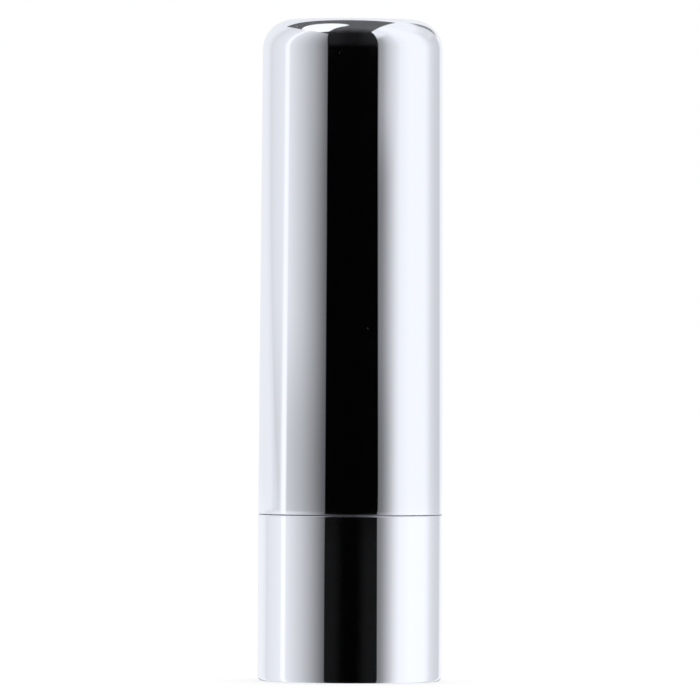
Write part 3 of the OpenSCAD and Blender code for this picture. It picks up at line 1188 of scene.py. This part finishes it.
@dataclass(frozen=True)
class Sides:
    """The tent's sides: their levels round the horizon, and what changes those low down and higher up."""

    brightest: float = 1.2
    levels: tuple[Point, ...] = (
        (-180, 0.90), (-144, 0.92), (-133, 0.855), (-127.5, 0.765), (-122, 0.81), (-107, 0.86), (-97.5, 0.90),
        (-95, 1.08), (-90, 1.08), (-87.5, 0.86), (-64, 0.61), (-50, 0.41), (-43, 0.295), (-31, 0.11),
        (33, 0.165), (36, 0.225), (39, 0.245), (43, 0.35), (51, 0.60), (57, 0.80), (64, 0.97), (80, 1.05),
        (106, 1.03), (112, 0.955), (120, 0.80), (130, 0.71), (144, 0.655), (148, 0.71), (153, 0.92), (160, 0.98),
        (180, 0.89),
    )
    # The left side's grey stripe leans towards the front as it comes down to the table
    lean: Shade = Shade(3.1, ((-97, -102), (-165, -140)), (TABLE_EDGE,))
    # Three stretches are dimmer just at the table's height, everything is lighter below it, and higher up both
    # falloffs towards the opening are lighter
    shades: tuple[Shade, ...] = (
        Shade(-0.23, ((-28, -36), (-90, -86)), (TABLE_HEIGHT, TABLE_EDGE)),
        Shade(-0.24, ((62, 38), (20, 30)), (TABLE_HEIGHT, TABLE_EDGE)),
        Shade(-0.08, ((-97, -102), (-120, -110)), (TABLE_HEIGHT, TABLE_EDGE)),
        Shade(0.05, (), ((-0.6, -1.0),)),
        Shade(0.10, ((-62, -38), (-10, -20)), ((1.95, 2.6),)),
        Shade(0.55, ((60, 36), (10, 20)), ((1.9, 2.6),)),
    )
    # Light from high up on the right that no level falls below
    floods: tuple[tuple[Shade, ...], ...] = (
        (Shade(0.92, ((20, 30),), ((16, 52),)),),
        (Shade(0.80, ((60, 90),), ((5, 22),)), Shade(0.20, ((60, 90),), ((30, 45),))),
    )

    def level(self, sky: Sky) -> Value:
        """The level of the sides.

        Args:
            sky: the world's tree.

        Returns:
            The level, without the opening.
        """
        bearing = sky.bearing - sky.amount(self.lean) * sky.drop * sky.drop
        stops = [((a + 180) / 360, level / self.brightest) for a, level in self.levels]
        level = sky.ramp((bearing + 180) / 360, stops) * self.brightest
        for shade in self.shades:
            level = level * (1 + sky.amount(shade))
        for flood in self.floods:
            level = level.maths("MAXIMUM", sum(sky.amount(shade) for shade in flood))
        return level


@dataclass(frozen=True)
class GapEdge:
    """One edge of the opening: its bearing, how it flares upwards and droops downwards, and its small steps."""

    bearing: float
    flare: float
    droop: float
    steps: tuple[Shade, ...]

    def away(self, sky: Sky) -> Value:
        """How many degrees from the front it is."""
        rise = sky.elevation.maths("MAXIMUM", 0.0) ** 2
        return self.bearing + self.flare * rise + self.droop * sky.drop + sum(sky.amount(s) for s in self.steps)


@dataclass(frozen=True)
class Opening:
    """The tent's open front: black, with the room behind it a trace lighter at its sides low down and at its top."""

    left: GapEdge = GapEdge(31.8, 0.0039, 0.0, (Shade(0.3, (), ((-0.9, -1.3),)), Shade(0.3, (), ((1.5, 2.1),))))
    right: GapEdge = GapEdge(32.7, 0.0015, 0.75, (Shade(-1.6, (), ((-0.5, -0.95),)),))
    softness: Fade = (-0.5, 0.5)
    black: float = 0.0008
    room: tuple[Shade, ...] = (
        Shade(0.007, ((6, 24),), ((-0.7, -1.2),)),
        Shade(0.0066, (), ((1, 22),)),
        Shade(0.0054, ((4, 22),), ((1, 22),)),
    )

    def cut(self, sky: Sky, level: Value) -> Value:
        """Opens the front.

        Args:
            sky: the world's tree.
            level: the level of the closed tent.

        Returns:
            The level with the opening.
        """
        gap = sky.ease(sky.bearing + self.left.away(sky), *self.softness)
        gap = gap * sky.ease(self.right.away(sky) - sky.bearing, *self.softness)
        room = self.black + sum(sky.amount(shade, abs(sky.bearing)) for shade in self.room)
        return level + (room - level) * gap


@dataclass(frozen=True)
class Ceiling:
    """A dark cloth ceiling with a lamp in it, and a curtain at the back right.

    Its places are on a plane overhead, u to the right and v to the back, in its height over the case. A Line is
    u times its first number plus v times its second plus its third.
    """

    centre: Point = (-0.215, 0.40)
    half: Point = (0.565, 1.0)
    rounding: float = 0.10
    cuts: tuple[Line, ...] = ((-1.0, -0.33, -0.738), (0.3, 1.0, -0.95))
    edge: Fade = (0.012, -0.012)
    raised: Fade = (8, 11)
    curtain_bearing: float = 157
    curtain: Shade = Shade(0.85, ((7, 3),), ((39, 31), (11, 20)))
    cloth_scale: float = 5.0
    darkest: float = 0.016
    paler: float = 0.105
    paler_from: Fade = (-0.62, -0.05)
    lamp_centre: Point = (-0.44, 0.05)
    lamp_r: float = 0.405
    lamp_softness: float = 0.015
    lamp_level: float = 1.1
    hem: Line = (-0.762, 0.648, -0.09147)
    hem_fray: float = 0.12
    hem_edge: Fade = (-0.015, 0.03)

    @staticmethod
    def beyond(line: Line, u: Value, v: Value) -> Value:
        """How far a place is beyond a line."""
        return line[0] * u + line[1] * v + line[2]

    def hang(self, sky: Sky, level: Value) -> Value:
        """Hangs the ceiling and the curtain.

        Args:
            sky: the world's tree.
            level: the level of the tent below them.

        Returns:
            The level with them.
        """
        over = sky.z.maths("MAXIMUM", 0.02)
        u, v = sky.x / over, sky.y / over
        sides = zip((u, v), self.centre, self.half)
        past = [(abs(at - mid) - (half - self.rounding)).maths("MAXIMUM", 0.0) for at, mid, half in sides]
        outside = (past[0] * past[0] + past[1] * past[1]).maths("SQRT") - self.rounding
        for line in self.cuts:
            outside = outside.maths("MAXIMUM", self.beyond(line, u, v))
        ceiling = sky.ease(outside, *self.edge) * sky.ease(sky.elevation, *self.raised)
        curtain = sky.amount(self.curtain, abs(sky.bearing - self.curtain_bearing))
        return level + (self._cloth(sky, u, v) - level) * ceiling.maths("MAXIMUM", curtain)

    def _cloth(self, sky: Sky, u: Value, v: Value) -> Value:
        """The mottled cloth with the lamp, which a frayed hem cuts off aslant.

        Args:
            sky: the world's tree.
            u: the place to the right.
            v: the place to the back.

        Returns:
            The cloth's level.
        """
        cloth = sky.noise(sky.join(u * self.cloth_scale, v * self.cloth_scale, 0.0), 1.0, 4.0, 0.75)
        uneven = cloth - 0.5
        dark = (self.darkest + self.paler * sky.ease(v + 0.5 * uneven, *self.paler_from)) * (0.7 + 0.6 * cloth)
        du, dv = u - self.lamp_centre[0], v - self.lamp_centre[1]
        rim = (self.lamp_r + self.lamp_softness, self.lamp_r - self.lamp_softness)
        lamp = sky.ease((du * du + dv * dv).maths("SQRT"), *rim)
        lamp = lamp * sky.ease(self.beyond(self.hem, u, v) + self.hem_fray * uneven, *self.hem_edge)
        return dark + (self.lamp_level - dark) * lamp


@dataclass
class Studio:
    """A plain pale floor in a tent of soft light, open at the front, with a dark ceiling and one lamp in it.

    The mirror shells show this tent, so its openings and falloffs are what gives them their stripes. Bearings run
    from the front to the right, elevations from the horizon up.
    """

    tint: Colour = (0.972, 0.990, 1.037)
    sides: Sides = Sides()
    opening: Opening = Opening()
    ceiling: Ceiling = Ceiling()
    doorway: Shade = Shade(-0.95, (), ((-4.5, -8), (-60, -45)))
    doorway_depth: Fade = (0.955, 0.975)
    doorway_width: Fade = (0.20, 0.17)
    dome: Point = (0.93, 0.12)
    floor_size: float = 8.0
    floor_tones: tuple[Colour, Colour] = ((0.52, 0.52, 0.52), (0.50, 0.50, 0.50))
    floor_glow: float = 0.55

    def build(self) -> None:
        """Lights the world and lays the floor."""
        self._world()
        self._floor()

    def _world(self) -> None:
        """Paints the tent as a function of direction: plain white for the camera, an even dome for dull surfaces."""
        world = bpy.data.worlds.new("studio_tent")
        bpy.context.scene.world = world
        world.use_nodes = True
        world.cycles.sampling_method = "NONE"
        sky = Sky(world.node_tree)
        level = self.ceiling.hang(sky, self.opening.cut(sky, self.sides.level(sky)))
        # A narrow dark doorway behind the table gives the far side its contrast from above
        doorway = sky.ease(sky.y, *self.doorway_depth) * sky.ease(abs(sky.x), *self.doorway_width)
        level = level * (1 + sky.amount(self.doorway) * doorway)
        colour = sky.vector_maths("SCALE", {0: self.tint, "Scale": level})
        dome = sky.join(*(self.dome[0] + self.dome[1] * sky.z,) * 3)
        path = sky.node("ShaderNodeLightPath")
        shown = sky.mix(sky.out(path, "Is Diffuse Ray"), colour, dome)
        shown = sky.mix(sky.out(path, "Is Camera Ray"), shown, (1.0, 1.0, 1.0))
        sky.feed(next(n for n in world.node_tree.nodes if n.type == "BACKGROUND"), {"Color": shown})
        log.info("studio tent lit")

    def _floor(self) -> None:
        """Lays the floor, which stays out of the mirrors: they show the tent alone."""
        half = self.floor_size / 2
        mesh = bpy.data.meshes.new("studio_floor")
        mesh.from_pydata([(-half, -half, 0), (half, -half, 0), (half, half, 0), (-half, half, 0)], [], [(0, 1, 2, 3)])
        floor = bpy.data.objects.new("studio_floor", mesh)
        bpy.context.scene.collection.objects.link(floor)
        floor.visible_glossy = False
        floor.visible_transmission = False
        material, shader = plain_material("floor_paint")
        graph = Graph(material.node_tree)
        place = graph.out(graph.node("ShaderNodeTexCoord"), "Object")
        graph.feed(shader, {
            "Base Color": graph.mix(graph.noise(place, 60.0, 3.0, 0.6), *self.floor_tones),
            "Roughness": 1.0,
            "Specular IOR Level": 0.0,
            "Emission Color": (1.0, 1.0, 1.0, 1.0),
            "Emission Strength": self.floor_glow,
        })
        mesh.materials.append(material)
        log.info("floor laid")


@dataclass
class Viewpoint:
    """The camera: a long lens at the case's middle height."""

    distance: float = 1.0
    height: float = 0.034
    lens: float = 500.0
    aside: float = -0.00012
    roll: float = 0.306

    def build(self) -> None:
        """Stands the camera in front of the case."""
        lens = bpy.data.cameras.new("studio_camera")
        lens.lens = self.lens
        lens.sensor_width = 36.0
        lens.clip_start, lens.clip_end = 0.01, 50.0
        camera = bpy.data.objects.new("studio_camera", lens)
        bpy.context.scene.collection.objects.link(camera)
        upright = Matrix.Rotation(math.radians(90), 4, "X") @ Matrix.Rotation(math.radians(self.roll), 4, "Z")
        camera.matrix_world = Matrix.Translation((self.aside, -self.distance, self.height)) @ upright
        bpy.context.scene.camera = camera
        bpy.context.scene.view_settings.view_transform = "Standard"
        log.info("camera stands at %.3f m", self.distance)


def main() -> None:
    """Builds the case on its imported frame, then the studio."""
    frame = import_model()
    nodes = frame["nodes"]
    cap_bottom, cap_top, _ = span("cap_shell")
    seam = (span("base_shell")[1] + cap_bottom) / 2
    base_mirror = MirrorShell("mirror_shell_base", haze=0.55, seam=seam).make()
    cap_mirror = MirrorShell("mirror_shell_cap", haze=0.12, handled=0.7, seam=seam, top=cap_top).make()
    aluminium = BrightAluminium().make()
    plastic = {stock: stock.value.make() for stock in Stock}
    lathe = Lathe()
    Base(
        lathe, nodes, base_mirror, plastic[Stock.INSERT], plastic[Stock.TUBE],
        TurnedSteel().make(), LabelPaper().make(), RingRubber().make(),
    ).build()
    Sleeve(lathe, nodes, aluminium, plastic[Stock.TUBE]).build()
    Carrier(nodes, plastic[Stock.CUP], LipWax().make()).build()
    Cap(lathe, cap_mirror, plastic[Stock.LINER]).build()
    Studio().build()
    Viewpoint().build()


if __name__ == "__main__":
    logging.basicConfig(level=logging.INFO, format="%(name)s: %(message)s")
    main()
